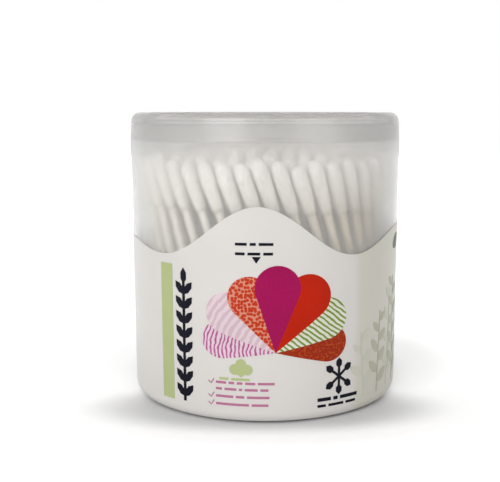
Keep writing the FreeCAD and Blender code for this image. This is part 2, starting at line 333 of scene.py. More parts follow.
class PressTone:
    """Node group: an ink's tone as a press lays it, with broad drift, fine grain and pores."""

    broad_scale: float = 90.0
    fine_scale: float = 2600.0
    pores: tuple[float, float] = (0.30, 0.44)
    pore_depth: float = 0.012
    roughness: tuple[float, float] = (0.36, 0.48)

    def __init__(self) -> None:
        """Builds the group once."""
        self.group, source, result = shader_group(
            "PressTone", {"Ink": grey(1.0), "Paper": grey(1.0), "Drift": 0.1},
            {"Tone": "NodeSocketColor", "Roughness": "NodeSocketFloat", "Height": "NodeSocketFloat"})
        desk = ShaderDesk(self.group)
        broad = desk.noise(self.broad_scale, 3.0)
        fine = desk.noise(self.fine_scale)
        swing = desk.math("SUBTRACT", broad, 0.5)
        drift = desk.math("MULTIPLY_ADD", swing, source.outputs["Drift"], 1.0)
        solid = desk.spread(fine, *self.pores, 1.0 - self.pore_depth, 1.0)
        tone = desk.blend(solid, source.outputs["Paper"], source.outputs["Ink"])
        shade = desk.add("ShaderNodeHueSaturation")
        desk.feed(shade.inputs["Value"], drift)
        desk.feed(shade.inputs["Color"], tone)
        desk.feed(result.inputs["Tone"], shade.outputs[0])
        desk.feed(result.inputs["Roughness"], desk.spread(fine, 0.3, 0.7, *self.roughness))
        desk.feed(result.inputs["Height"], desk.math("MULTIPLY_ADD", fine, 0.5, broad))

    def place(self, desk: ShaderDesk, ink: object, paper: object, drift: float) -> bpy.types.Node:
        """Places the group in a material.

        Args:
            desk: The material's desk.
            ink: Colour of the ink.
            paper: Colour of the film under it.
            drift: Strength of the broad change of tone.

        Returns:
            The group's node.
        """
        node = desk.add("ShaderNodeGroup", node_tree=self.group)
        for name, value in (("Ink", ink), ("Paper", paper), ("Drift", drift)):
            desk.feed(node.inputs[name], value)
        return node


class MouldSkin:
    """Node group: the fine matt texture that a frosted mould leaves, with faint flow and scuffs."""

    grain_scale: float = 3200.0
    flow_scale: float = 38.0
    flow_swing: float = 0.03
    scuff_scale: float = 420.0
    scuff_stretch: float = 0.12
    scuffs: tuple[float, float] = (0.62, 0.78)

    def __init__(self) -> None:
        """Builds the group once."""
        self.group, source, result = shader_group(
            "MouldSkin", {"Gloss": 0.235, "Wear": 0.015},
            {"Roughness": "NodeSocketFloat", "Height": "NodeSocketFloat", "Haze": "NodeSocketFloat"})
        desk = ShaderDesk(self.group)
        grain = desk.noise(self.grain_scale, 1.0)
        flow = desk.noise(self.flow_scale, 3.0)
        scuff = desk.spread(desk.long_noise(self.scuff_scale, 4.0, self.scuff_stretch), *self.scuffs)
        rough = desk.math("MULTIPLY_ADD", scuff, source.outputs["Wear"], source.outputs["Gloss"])
        swing = desk.math("MULTIPLY", desk.math("SUBTRACT", flow, 0.5), self.flow_swing)
        desk.feed(result.inputs["Roughness"], desk.math("ADD", rough, swing))
        desk.feed(result.inputs["Height"], desk.math("MULTIPLY_ADD", grain, 0.6, flow))
        desk.feed(result.inputs["Haze"], flow)

    def place(self, desk: ShaderDesk, gloss: float, wear: float) -> bpy.types.Node:
        """Places the group in a material.

        Args:
            desk: The material's desk.
            gloss: Roughness of the clean skin.
            wear: Added roughness of a scuff.

        Returns:
            The group's node.
        """
        node = desk.add("ShaderNodeGroup", node_tree=self.group)
        node.inputs["Gloss"].default_value = gloss
        node.inputs["Wear"].default_value = wear
        return node


@dataclass(frozen=True)
class Groups:
    """The node groups that several finishes share."""

    wall: WallPlace
    bundle: BundleShadeMasks
    press: PressTone
    skin: MouldSkin


def new_material(name: str) -> tuple[bpy.types.Material, ShaderDesk, bpy.types.Node]:
    """Makes a material with a Principled BSDF.

    Args:
        name: Name of the material.

    Returns:
        The material, a desk for its nodes and its Principled BSDF.
    """
    material = bpy.data.materials.new(name)
    material.use_nodes = True
    desk = ShaderDesk(material.node_tree)
    return material, desk, material.node_tree.nodes["Principled BSDF"]


def add_bump(desk: ShaderDesk, shader: bpy.types.Node, height: Socket, strength: float, depth: float) -> None:
    """Gives a shader a bump.

    Args:
        desk: The material's desk.
        shader: The Principled BSDF.
        height: Height of the texture.
        strength: Strength from 0 to 1.
        depth: Depth in metres.
    """
    bump = desk.add("ShaderNodeBump")
    bump.inputs["Strength"].default_value = strength
    bump.inputs["Distance"].default_value = depth
    desk.feed(bump.inputs["Height"], height)
    desk.feed(shader.inputs["Normal"], bump.outputs[0])


# Finishes

PAPER: Colour = (221, 217, 213)


@dataclass(frozen=True)
class FrostedPlastic:
    """Natural polypropylene with a matt skin that blurs what stands behind it.

    It may have a tone of its own below low_top, a height in millimetres, painted lighter than the band above
    it: painted light and shade of the layered rim.
    """

    name: str
    colour: Colour = (232, 231, 228)
    low_painted_colour: Optional[Colour] = None
    low_top: float = HINGE_HEIGHT / MM
    low_blend: float = 0.3
    mottle: float = 0.965
    gloss: float = 0.235
    wear: float = 0.015
    clear: float = 0.84
    passes: float = 0.9

    def make(self, groups: Groups) -> bpy.types.Material:
        """Makes the material.

        Args:
            groups: The shared node groups.

        Returns:
            The material.
        """
        material, desk, shader = new_material(self.name)
        skin = groups.skin.place(desk, self.gloss, self.wear)
        dark = tuple(round(c * self.mottle) for c in self.colour)
        tone = desk.blend(skin.outputs["Haze"], linear(dark), linear(self.colour))
        # Painted light and shade: a lighter tone below low_top, under a darker band above it.
        if self.low_painted_colour is not None:
            _, height = groups.wall.place(desk)
            above = desk.spread(height, self.low_top - self.low_blend, self.low_top + self.low_blend)
            tone = desk.blend(above, linear(self.low_painted_colour), tone)
        desk.feed(shader.inputs["Base Color"], tone)
        desk.feed(shader.inputs["Roughness"], skin.outputs["Roughness"])
        shader.inputs["IOR"].default_value = 1.49
        shader.inputs["Transmission Weight"].default_value = self.clear
        add_bump(desk, shader, skin.outputs["Height"], 0.12, 0.04 * MM)
        open_air = desk.add("ShaderNodeBsdfTransparent")
        open_air.inputs["Color"].default_value = grey(self.passes)
        mix = desk.add("ShaderNodeMixShader")
        desk.feed(mix.inputs["Fac"], desk.add("ShaderNodeLightPath").outputs["Is Shadow Ray"])
        desk.feed(mix.inputs[1], shader.outputs[0])
        desk.feed(mix.inputs[2], open_air.outputs[0])
        desk.feed(material.node_tree.nodes["Material Output"].inputs["Surface"], mix.outputs[0])
        return material


@dataclass(frozen=True)
class LabelFilm:
    """Satin white film, greyer round its right side, with a faint ripple and a lap at the back.

    Its places are arc lengths in millimetres from the front.
    """

    name: str = "label_film"
    colour: Colour = PAPER
    side: Colour = (211, 208, 196)
    side_start: float = 27.5
    side_end: float = 31.5
    side_fade: tuple[float, float] = (62.0, 118.0)
    side_waver: float = 3.0
    seam: float = 128.2
    seam_width: float = 0.3
    specular: float = 0.28
    coat: float = 0.04

    def make(self, groups: Groups) -> bpy.types.Material:
        """Makes the material.

        Args:
            groups: The shared node groups.

        Returns:
            The material.
        """
        material, desk, shader = new_material(self.name)
        arc, _ = groups.wall.place(desk)
        slow = desk.noise(0.05, 1.0, groups.wall.vector(desk))
        edge = desk.math("MULTIPLY_ADD", slow, self.side_waver, arc)
        share = desk.spread(edge, self.side_start, self.side_end)
        share = desk.math("MULTIPLY", share, desk.spread(arc, *self.side_fade, 1.0, 0.0))
        share = desk.math("MAXIMUM", share, desk.spread(arc, self.seam - self.seam_width, self.seam))
        paper = desk.blend(share, linear(self.colour), linear(self.side))
        press = groups.press.place(desk, paper, paper, 0.05)
        desk.feed(shader.inputs["Base Color"], press.outputs["Tone"])
        desk.feed(shader.inputs["Roughness"], press.outputs["Roughness"])
        shader.inputs["Specular IOR Level"].default_value = self.specular
        shader.inputs["Coat Weight"].default_value = self.coat
        shader.inputs["Coat Roughness"].default_value = 0.3
        add_bump(desk, shader, desk.noise(170.0), 0.1, 0.12 * MM)
        return material


class Pattern(Enum):
    """How a printed field covers its film."""

    PLAIN = "plain"
    STIPPLE = "stipple"
    RINGS = "rings"
    STROKES = "strokes"


@dataclass(frozen=True)
class Ink:
    """Printed ink in one of the patterns, over the label's film.

    The pitch, the centre and the sway of a pattern are in millimetres on the wall.
    """

    name: str
    colour: Colour
    ground: Colour = PAPER
    pattern: Pattern = Pattern.PLAIN
    pitch: float = 1.1
    share: float = 0.5
    drift: float = 0.14
    specular: float = 0.1
    centre: tuple[float, float] = (2.9, 20.2)
    slope: float = 1.35
    sway: float = 1.6
    softness: float = 0.06

    def make(self, groups: Groups) -> bpy.types.Material:
        """Makes the material.

        Args:
            groups: The shared node groups.

        Returns:
            The material.
        """
        material, desk, shader = new_material(self.name)
        mask = self.mask(desk, groups)
        colour = linear(self.colour)
        ink = colour if mask is None else desk.blend(mask, linear(self.ground), colour)
        press = groups.press.place(desk, ink, linear(PAPER), self.drift)
        desk.feed(shader.inputs["Base Color"], press.outputs["Tone"])
        desk.feed(shader.inputs["Roughness"], press.outputs["Roughness"])
        shader.inputs["Specular IOR Level"].default_value = self.specular
        add_bump(desk, shader, press.outputs["Height"], 0.1, 0.03 * MM)
        return material

    def mask(self, desk: ShaderDesk, groups: Groups) -> Optional[Socket]:
        """Where the pattern lays its darker ink.

        Args:
            desk: The material's desk.
            groups: The shared node groups.

        Returns:
            A mask from 0 to 1, or None for a plain field.
        """
        if self.pattern is Pattern.PLAIN:
            return None
        if self.pattern is Pattern.STIPPLE:
            dots = desk.add("ShaderNodeTexVoronoi", voronoi_dimensions="2D")
            desk.feed(dots.inputs["Vector"], groups.wall.vector(desk))
            dots.inputs["Scale"].default_value = 1 / self.pitch
            dots.inputs["Randomness"].default_value = 0.75
            return desk.spread(dots.outputs["Distance"], self.share, self.share + 0.1, 1.0, 0.0)
        arc, height = groups.wall.place(desk)
        across = desk.math("SUBTRACT", arc, self.centre[0])
        up = desk.math("SUBTRACT", height, self.centre[1])
        slow = desk.noise(0.35, place=groups.wall.vector(desk))
        sway = desk.math("MULTIPLY", slow, self.sway)
        if self.pattern is Pattern.RINGS:
            square = desk.math("MULTIPLY_ADD", across, across, desk.math("MULTIPLY", up, up))
            run = desk.math("ADD", desk.math("SQRT", square), sway)
        else:
            run = desk.math("ADD", desk.math("MULTIPLY_ADD", up, self.slope, across), sway)
        step = desk.math("FRACT", desk.math("DIVIDE", run, self.pitch))
        from_middle = desk.math("ABSOLUTE", desk.math("SUBTRACT", step, 0.5))
        half = self.share / 2
        return desk.spread(from_middle, half - self.softness, half + self.softness, 1.0, 0.0)


@dataclass(frozen=True)
class SpunCotton:
    """Soft white fibre wound into a bud, with painted shade: darker and warmer low down, towards the right
    side and on the inner rows.
    """

    name: str = "cotton"
    colour: Colour = (244, 241, 238)
    low_shade_colour: Colour = (240, 234, 220)
    low_right_shade_colour: Colour = (214, 198, 166)
    inner_shade_colour: Colour = (206, 188, 152)
    low_shade_heights: tuple[float, float] = (50.0, 70.0)
    inner_shade_heights: tuple[float, float] = (62.0, 71.0)
    mottle: float = 0.93

    def make(self, groups: Groups) -> bpy.types.Material:
        """Makes the material.

        Args:
            groups: The shared node groups.

        Returns:
            The material.
        """
        material, desk, shader = new_material(self.name)
        tufts = desk.long_noise(1500.0, 4.0, 0.45)
        fibres = desk.long_noise(5200.0, 2.0, 0.45)
        dark = tuple(round(c * self.mottle) for c in self.colour)
        tone = desk.blend(desk.spread(tufts, 0.35, 0.6), linear(dark), linear(self.colour))
        # Painted shade: the buds turn darker and warmer below the heads, to the right and on the inner rows.
        _, height = groups.wall.place(desk)
        right, inside = groups.bundle.place(desk)
        deep = desk.blend(right, linear(self.low_shade_colour), linear(self.low_right_shade_colour))
        outer = desk.blend(desk.spread(height, *self.low_shade_heights), deep, tone)
        inner = desk.math("MULTIPLY", inside, desk.spread(height, *self.inner_shade_heights, 1.0, 0.0))
        desk.feed(shader.inputs["Base Color"], desk.blend(inner, outer, linear(self.inner_shade_colour)))
        desk.feed(shader.inputs["Roughness"], desk.spread(tufts, 0.3, 0.7, 0.85, 1.0))
        shader.inputs["Sheen Weight"].default_value = 0.25
        shader.inputs["Sheen Roughness"].default_value = 0.5
        add_bump(desk, shader, desk.math("MULTIPLY_ADD", fibres, 0.35, tufts), 0.7, 0.3 * MM)
        return material


@dataclass(frozen=True)
class SwabStick:
    """Smooth extruded stick with faint lengthwise drawing marks, and painted shade that makes it darker and
    warmer to the right and on the inner rows.
    """

    name: str = "stick"
    colour: Colour = (243, 238, 228)
    right_shade_colour: Colour = (216, 200, 170)
    inner_shade_colour: Colour = (178, 156, 116)

    def make(self, groups: Groups) -> bpy.types.Material:
        """Makes the material.

        Args:
            groups: The shared node groups.

        Returns:
            The material.
        """
        material, desk, shader = new_material(self.name)
        marks = desk.long_noise(2400.0, 2.0, 0.05)
        # Painted shade: darker, warmer tones to the right and on the inner rows.
        right, inner = groups.bundle.place(desk)
        tone = desk.blend(right, linear(self.colour), linear(self.right_shade_colour))
        tone = desk.blend(inner, tone, linear(self.inner_shade_colour))
        lines = desk.spread(marks, 0.35, 0.65, 0.93, 1.0)
        shade = desk.add("ShaderNodeHueSaturation")
        desk.feed(shade.inputs["Value"], lines)
        desk.feed(shade.inputs["Color"], tone)
        desk.feed(shader.inputs["Base Color"], shade.outputs[0])
        desk.feed(shader.inputs["Roughness"], desk.spread(marks, 0.3, 0.7, 0.38, 0.55))
        shader.inputs["Subsurface Weight"].default_value = 0.15
        shader.inputs["Subsurface Radius"].default_value = (0.0012, 0.0011, 0.001)
        add_bump(desk, shader, marks, 0.2, 0.04 * MM)
        return material


# Modelling helpers

def deselect() -> None:
    """Clears the selection."""
    bpy.ops.object.select_all(action="DESELECT")


def choose(objects: Iterable[bpy.types.Object]) -> None:
    """Selects objects, the first of them active.

    Args:
        objects: The objects.
    """
    deselect()
    picked = list(objects)
    for piece in picked:
        piece.select_set(True)
    bpy.context.view_layer.objects.active = picked[0]


def edit(piece: bpy.types.Object, action: Callable[[], None]) -> None:
    """Runs an action in edit mode on one piece.

    Args:
        piece: The piece.
        action: What to do there.
    """
    choose([piece])
    bpy.ops.object.mode_set(mode="EDIT")
    action()
    bpy.ops.object.mode_set(mode="OBJECT")


def settle(piece: bpy.types.Object) -> None:
    """Puts a piece's place into its mesh."""
    choose([piece])
    bpy.ops.object.transform_apply(location=True, rotation=True, scale=True)


def merge(name: str, parts: list[bpy.types.Object]) -> bpy.types.Object:
    """Joins parts into one named piece at the origin.

    Args:
        name: Name of the piece.
        parts: The parts.

    Returns:
        The piece.
    """
    choose(parts)
    if len(parts) > 1:
        bpy.ops.object.join()
    piece = bpy.context.view_layer.objects.active
    piece.name = name
    piece.data.name = name
    settle(piece)
    return piece


def apply_modifiers(piece: bpy.types.Object) -> None:
    """Applies every modifier of a piece.

    Args:
        piece: The piece.
    """
    choose([piece])
    for name in [modifier.name for modifier in piece.modifiers]:
        bpy.ops.object.modifier_apply(modifier=name)


def face_outward(piece: bpy.types.Object) -> None:
    """Turns all faces of a closed piece outward.

    Args:
        piece: The piece.
    """
    def recalculate() -> None:
        """Recalculates the normals of all faces."""
        bpy.ops.mesh.select_all(action="SELECT")
        bpy.ops.mesh.normals_make_consistent(inside=False)

    edit(piece, recalculate)


def dress(piece: bpy.types.Object, material: bpy.types.Material) -> None:
    """Gives a piece one material."""
    piece.data.materials.clear()
    piece.data.materials.append(material)


def dress_node(name: str, material: bpy.types.Material) -> None:
    """Gives a CAD node's slots a material.

    Args:
        name: Name of the node.
        material: The material.
    """
    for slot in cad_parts[name].material_slots:
        slot.material = material


# Sub-assemblies

@dataclass
class TubShell:
    """Moulded tub and lid, with the film hinge between them."""

    film_width: float = HINGE_WIDTH - 0.6 * MM
    film_height: float = 1.5 * MM
    film_thickness: float = 0.3 * MM
    film_bend: float = 0.45 * MM
    film_groove: float = 0.2 * MM
    groove_depth: float = 0.12 * MM

    def build(self, groups: Groups) -> bpy.types.Object:
        """Dresses the tub and the lid and builds the film hinge.

        Args:
            groups: The shared node groups.

        Returns:
            The film hinge.
        """
        # Painted shade and light: the shell's band above 74.5 mm and the lid are coloured darker, the wall
        # below and the lid's plug ring lighter.
        shell = FrostedPlastic(
            "frosted_shell", (226, 225, 223), low_painted_colour=(232, 231, 229), low_top=74.5, low_blend=3.5)
        lid = FrostedPlastic("frosted_lid", (218, 217, 215), low_painted_colour=(232, 232, 231), clear=0.86)
        dress_node("tub_body", shell.make(groups))
        dress_node("lid", lid.make(groups))
        film = self.build_film()
        dress(film, FrostedPlastic("whitened_film", (243, 242, 240), clear=0.3).make(groups))
        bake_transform(film)
        return film

    def build_film(self) -> bpy.types.Object:
        """Builds the thin film, thinner where it bends.

        Returns:
            The film.
        """
        deselect()
        place = (0, WALL_RADIUS + self.film_thickness / 2, HINGE_HEIGHT)
        bpy.ops.mesh.primitive_cube_add(size=1, location=place)
        film = bpy.context.active_object
        film.scale = (self.film_width, self.film_thickness, self.film_height)
        film.name = "hinge_film"
        settle(film)
        mesh = bmesh.new()
        mesh.from_mesh(film.data)
        for height in (-self.film_bend, -self.film_groove, 0.0, self.film_groove, self.film_bend):
            parts = mesh.verts[:] + mesh.edges[:] + mesh.faces[:]
            middle = Vector((0, 0, HINGE_HEIGHT + height))
            bmesh.ops.bisect_plane(mesh, geom=parts, plane_co=middle, plane_no=(0, 0, 1))
        beside = (self.film_groove + self.film_bend) / 2
        outer = WALL_RADIUS + self.film_thickness / 2
        for corner in mesh.verts:
            if abs(corner.co.z - HINGE_HEIGHT) < beside and corner.co.y > outer:
                corner.co.y -= self.groove_depth
        mesh.to_mesh(film.data)
        mesh.free()
        face_outward(film)
        return film


@dataclass
class SwabBundle:
    """Two hundred swabs that lean round the tub, built ring by ring on the frame's solids."""

    rings: int = 8
    stick_radius: float = 1.15 * MM
    stick_lap: float = 2.0 * MM
    stick_sides: int = 10
    tip_sides: int = 10
    tip_profile: tuple[tuple[float, float], ...] = (
        (1.28, -0.15), (1.72, 1.3), (2.02, 4.6), (2.22, 8.6), (2.3, 11.4), (2.02, 13.5), (1.2, 14.65))
    tip_length: float = 15.0
    tip_shapes: int = 3
    lump_reach: float = 1.4 * MM
    lumps: tuple[float, float] = (-0.07, 0.02)
    head_lengths: tuple[float, float] = (0.93, 1.09)
    seed: int = 23

    def build(self, groups: Groups) -> list[bpy.types.Object]:
        """Builds all rings and puts them in place of the frame's swabs.

        Args:
            groups: The shared node groups.

        Returns:
            The rings of sticks and of cotton tips.
        """
        chance = random.Random(self.seed)
        stick_finish = SwabStick().make(groups)
        tip_finish = SpunCotton().make(groups)
        tips = [self.build_tip(chance) for _ in range(self.tip_shapes)]
        pieces: list[bpy.types.Object] = []
        for ring in range(1, self.rings + 1):
            stick_node = f"swab_sticks_ring_{ring}"
            tip_node = f"cotton_tips_ring_{ring}"
            axes = self.read_axes(stick_node)
            sticks = self.ring_of_sticks(f"sticks_ring_{ring}", axes)
            buds = self.ring_of_tips(f"buds_ring_{ring}", axes, tips, chance)
            for piece, node, finish, slot in (
                    (sticks, stick_node, stick_finish, "stick"), (buds, tip_node, tip_finish, "cotton")):
                dress(piece, finish)
                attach(piece, "tub")
                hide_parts(node)
                pieces.append(piece)
        for tip in tips:
            bpy.data.meshes.remove(tip)
        return pieces

    def read_axes(self, node: str) -> list[tuple[Vector, Vector]]:
        """Finds the lower and upper end of each stick of a ring.

        Args:
            node: Name of the ring's node of sticks.

        Returns:
            Both ends of each stick.
        """
        mesh = bmesh.new()
        mesh.from_mesh(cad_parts[node].data)
        bmesh.ops.remove_doubles(mesh, verts=mesh.verts[:], dist=1e-6)
        axes = []
        left = set(mesh.verts)
        while left:
            start = left.pop()
            island, waiting = [start], [start]
            while waiting:
                for edge in waiting.pop().link_edges:
                    for corner in edge.verts:
                        if corner in left:
                            left.discard(corner)
                            island.append(corner)
                            waiting.append(corner)
            corners = sorted((corner.co.copy() for corner in island), key=lambda place: place.z)
            half = len(corners) // 2
            low = sum(corners[:half], Vector()) / half
            high = sum(corners[half:], Vector()) / (len(corners) - half)
            axes.append((low, high))
        mesh.free()
        return sorted(axes, key=lambda ends: math.atan2(ends[0].y, ends[0].x))

    def build_tip(self, chance: random.Random) -> bpy.types.Mesh:
        """Models one cotton bud on the Z axis, from its root up.

        Args:
            chance: Source of the bud's small lumps.

        Returns:
            The bud's mesh.
        """
        first_radius, first_height = self.tip_profile[0]
        deselect()
        bpy.ops.mesh.primitive_circle_add(
            vertices=self.tip_sides, radius=first_radius * MM, fill_type="NGON",
            location=(0, 0, first_height * MM))
        bud = bpy.context.active_object
        settle(bud)

        def raise_rings() -> None:
            """Draws the bud up ring by ring and closes its top."""
            bpy.ops.mesh.select_all(action="SELECT")
            radius, height = self.tip_profile[0]
            for next_radius, next_height in self.tip_profile[1:]:
                rise = (0, 0, (next_height - height) * MM)
                bpy.ops.mesh.extrude_region_move(TRANSFORM_OT_translate={"value": rise})
                grow = next_radius / radius
                bpy.ops.transform.resize(value=(grow, grow, 1), center_override=(0, 0, next_height * MM))
                radius, height = next_radius, next_height
            rise = (0, 0, (self.tip_length - height) * MM)
            bpy.ops.mesh.extrude_region_move(TRANSFORM_OT_translate={"value": rise})
            bpy.ops.mesh.merge(type="CENTER")

        edit(bud, raise_rings)
        face_outward(bud)
        for corner in bud.data.vertices:
            reach = math.hypot(corner.co.x, corner.co.y)
            if reach > self.lump_reach:
                grow = 1 + chance.uniform(*self.lumps)
                corner.co.x *= grow
                corner.co.y *= grow
        choose([bud])
        bpy.ops.object.shade_smooth()
        mesh = bud.data.copy()
        bpy.data.objects.remove(bud)
        return mesh

    def ring_of_sticks(self, name: str, axes: list[tuple[Vector, Vector]]) -> bpy.types.Object:
        """Copies one stick to each axis of a ring.

        Args:
            name: Name of the piece.
            axes: Both ends of each stick.

        Returns:
            The ring of sticks.
        """
        length = (axes[0][1] - axes[0][0]).length + 2 * self.stick_lap
        deselect()
        bpy.ops.mesh.primitive_cylinder_add(vertices=self.stick_sides, radius=self.stick_radius, depth=length)
        master = bpy.context.active_object
        bpy.ops.object.shade_smooth_by_angle(angle=math.radians(50))
        parts = []
        for low, high in axes:
            part = master.copy()
            part.data = master.data.copy()
            turn = (high - low).to_track_quat("Z", "Y").to_matrix().to_4x4()
            part.data.transform(Matrix.Translation((low + high) / 2) @ turn)
            bpy.context.scene.collection.objects.link(part)
            parts.append(part)
        bpy.data.objects.remove(master)
        return merge(name, parts)

    def ring_of_tips(self, name: str, axes: list[tuple[Vector, Vector]], tips: list[bpy.types.Mesh],
                     chance: random.Random) -> bpy.types.Object:
        """Copies a bud to both ends of each stick of a ring, the upper ones of uneven length.

        Args:
            name: Name of the piece.
            axes: Both ends of each stick.
            tips: The buds to choose from.
            chance: Source of the choice and of the turn of each bud.

        Returns:
            The ring of cotton tips.
        """
        parts = []
        for low, high in axes:
            head = chance.uniform(*self.head_lengths)
            for root, along, size in ((high, high - low, head), (low, low - high, 1.0)):
                mesh = chance.choice(tips).copy()
                roll = Matrix.Rotation(chance.uniform(0, 2 * math.pi), 4, "Z")
                turn = along.to_track_quat("Z", "Y").to_matrix().to_4x4()
                stretch = Matrix.Diagonal((1.0, 1.0, size, 1.0))
                mesh.transform(Matrix.Translation(root) @ turn @ roll @ stretch)
                part = bpy.data.objects.new(name, mesh)
                bpy.context.scene.collection.objects.link(part)
                parts.append(part)
        return merge(name, parts)


@dataclass(frozen=True)
class Run:
    """A row of plain printed dashes: its start in degrees, and its sizes in millimetres."""

    start: float
    height: float
    lengths: tuple[float, ...]
    gap: float = 0.8
    rise: float = 0.75


@dataclass(frozen=True)
class Sprig:
    """A printed leafy sprig: where it stands in degrees, and its sizes in millimetres."""

    azimuth: float
    foot: float
    length: float
    roll: float
    leaf: float = 6.0
    spacing: float = 2.8


@dataclass
class WrapLabel:
    """Printed film round the tub: its dressed fields, rows of dashes, sprigs and a leaf bud."""

    film: float = 0.04 * MM
    navy_runs: tuple[Run, ...] = (
        Run(-11.3, 50.0, (3.2, 1.6, 3.9)),
        Run(-11.3, 47.4, (2.6, 3.4, 2.6)),
        Run(20.9, 6.0, (4.2, 1.4, 6.2), 0.8, 1.0),
        Run(20.9, 4.2, (2.6, 5.0, 3.6), 0.8, 0.75),
    )
    green_runs: tuple[Run, ...] = (Run(-17.9, 12.6, (2.6, 5.2), 0.8, 0.7),)
    pink_runs: tuple[Run, ...] = (
        Run(-19.4, 11.5, (3.0, 1.6, 1.6, 2.8, 4.6), 0.7, 0.7),
        Run(-19.4, 9.7, (1.8, 3.4, 0.9, 3.6, 2.2), 0.7, 0.7),
        Run(-19.4, 7.6, (5.0, 2.4, 6.2), 0.7, 0.7),
        Run(-19.4, 5.4, (9.4, 4.6), 0.7, 0.7),
    )
    pale_sprigs: tuple[Sprig, ...] = (
        Sprig(44, 4.4, 19, -5, 6.6, 3.3), Sprig(62, 4.6, 29, 4, 7.4, 3.3), Sprig(80, 4.4, 24, -5, 6.6, 3.3),
        Sprig(99, 4.4, 28, 5, 7.2, 3.3), Sprig(118, 4.6, 23, -4, 6.6, 3.3), Sprig(136, 4.4, 17, 5, 6.0, 3.3),
    )
    deep_sprigs: tuple[Sprig, ...] = (
        Sprig(53, 4.2, 24, 3, 6.6, 3.0), Sprig(71, 4.2, 33, -3, 7.4, 3.0), Sprig(90, 4.2, 30, 2, 7.0, 3.0),
        Sprig(109, 4.4, 25, 3, 6.4, 3.0), Sprig(127, 4.2, 20, -3, 6.0, 3.0),
    )
    tick_heights: tuple[float, ...] = (11.5, 7.6, 5.4)
    tick_azimuth: float = -21.4
    tick_rise: float = 0.3
    tick_strokes: tuple[tuple[float, float, float, float], ...] = (
        (0.9, -0.7, -0.05, 45), (1.7, 0.6, 0.2, -58))
    stand_off: float = 0.2 * MM
    stem_width: float = 0.5
    stem_rows: int = 8
    leaf_corners: int = 12
    leaf_widest: float = 0.4
    leaf_taper: float = 0.9
    leaf_slim: float = 0.5
    leaf_shrink: float = 0.45
    leaf_scatter: float = 0.3
    leaf_root: float = 0.35
    leaf_spread: tuple[float, float] = (40, 54)
    bud_size: tuple[float, float] = (8.0, 4.4)
    bud_place: tuple[float, float, float] = (67.5, 45.6, 66)

    def build(self, groups: Groups) -> list[bpy.types.Object]:
        """Dresses the label and its inks and builds the small print.

        Args:
            groups: The shared node groups.

        Returns:
            The pieces of small print.
        """
        dress_node("label", LabelFilm().make(groups))
        inks = {
            "ink_magenta": Ink("ink_magenta", (160, 12, 82), drift=0.3),
            "ink_vermilion": Ink("ink_vermilion", (188, 32, 2), drift=0.3),
            "ink_orange": Ink("ink_orange", (192, 54, 26), (216, 144, 120), Pattern.STIPPLE, 0.95, 0.42),
            "ink_leaf_green": Ink("ink_leaf_green", (118, 146, 54), (226, 225, 210), Pattern.STROKES, 2.1,
                                  0.42),
            "ink_blush": Ink("ink_blush", (212, 184, 194), (226, 208, 214), Pattern.RINGS, 1.9, 0.5),
            "ink_rust": Ink("ink_rust", (154, 42, 12), (176, 72, 32), Pattern.STIPPLE, 0.8, 0.5),
            "ink_pink": Ink("ink_pink", (178, 88, 140), (228, 206, 218), Pattern.RINGS, 1.15, 0.42),
            "ink_navy": Ink("ink_navy", (4, 3, 22), drift=0.2),
            "ink_pale_green": Ink("ink_pale_green", (182, 192, 138), drift=0.12),
        }
        finishes = {name: ink.make(groups) for name, ink in inks.items()}
        for name, finish in finishes.items():
            dress_node(name, finish)
        sage = Ink("sage", (208, 208, 194), drift=0.08).make(groups)
        moss = Ink("moss", (190, 189, 170), drift=0.1).make(groups)
        berry = Ink("berry", (186, 118, 150), drift=0.12).make(groups)
        bottle = Ink("bottle", (84, 94, 72), drift=0.2).make(groups)
        pieces = [
            self.finish_print("navy_dashes", self.dashes(self.navy_runs), finishes["ink_navy"]),
            self.finish_print("green_dashes", self.dashes(self.green_runs), finishes["ink_pale_green"]),
            self.finish_print("pink_dashes", self.dashes(self.pink_runs) + self.ticks(), berry),
            self.finish_print("pale_sprigs", self.sprigs(self.pale_sprigs, random.Random(5)), sage),
            self.finish_print("deep_sprigs", self.sprigs(self.deep_sprigs, random.Random(8)), moss,
                              0.05 * MM),
            self.finish_print("leaf_bud", self.bud(), bottle),
        ]
        return pieces

    def stand(self, part: bpy.types.Object, azimuth: float, height: float, roll: float = 0.0) -> None:
        """Stands a flat part up against the wall.

        Args:
            part: A part drawn in the XY plane about the origin, its top towards +Y.
            azimuth: Azimuth of its middle, in degrees.
            height: Height of its middle, in millimetres.
            roll: Lean to the right in degrees.
        """
        reach = label_radius(height * MM) + self.stand_off
        turn = Matrix.Rotation(math.radians(azimuth), 4, "Z")
        up = Matrix.Rotation(math.radians(90), 4, "X")
        lean = Matrix.Rotation(math.radians(-roll), 4, "Z")
        part.data.transform(turn @ Matrix.Translation((0, -reach, height * MM)) @ up @ lean)

    def patch(self, width: float, rise: float, steps: int, rows: int = 1) -> bpy.types.Object:
        """Draws a flat patch in the XY plane, split so that it can follow the wall.

        Args:
            width: Width in millimetres.
            rise: Height in millimetres.
            steps: Number of strips across.
            rows: Number of strips up.

        Returns:
            The patch.
        """
        deselect()
        bpy.ops.mesh.primitive_grid_add(x_subdivisions=steps, y_subdivisions=rows, size=1)
        part = bpy.context.active_object
        part.scale = (width * MM, rise * MM, 1)
        settle(part)
        return part

    def leaf(self, length: float, width: float) -> bpy.types.Object:
        """Draws a flat pointed leaf in the XY plane, its foot at the origin.

        Args:
            length: Length in millimetres.
            width: Width in millimetres.

        Returns:
            The leaf.
        """
        deselect()
        bpy.ops.mesh.primitive_circle_add(
            vertices=self.leaf_corners, radius=0.5, fill_type="TRIFAN", location=(0, 0.5, 0))
        part = bpy.context.active_object
        settle(part)
        for corner in part.data.vertices:
            share = min(max(corner.co.y, 0.0), 1.0)
            corner.co.x *= (1 - abs(share - self.leaf_widest) ** 1.5 * self.leaf_taper) * width * MM
            corner.co.y = share * length * MM
        return part

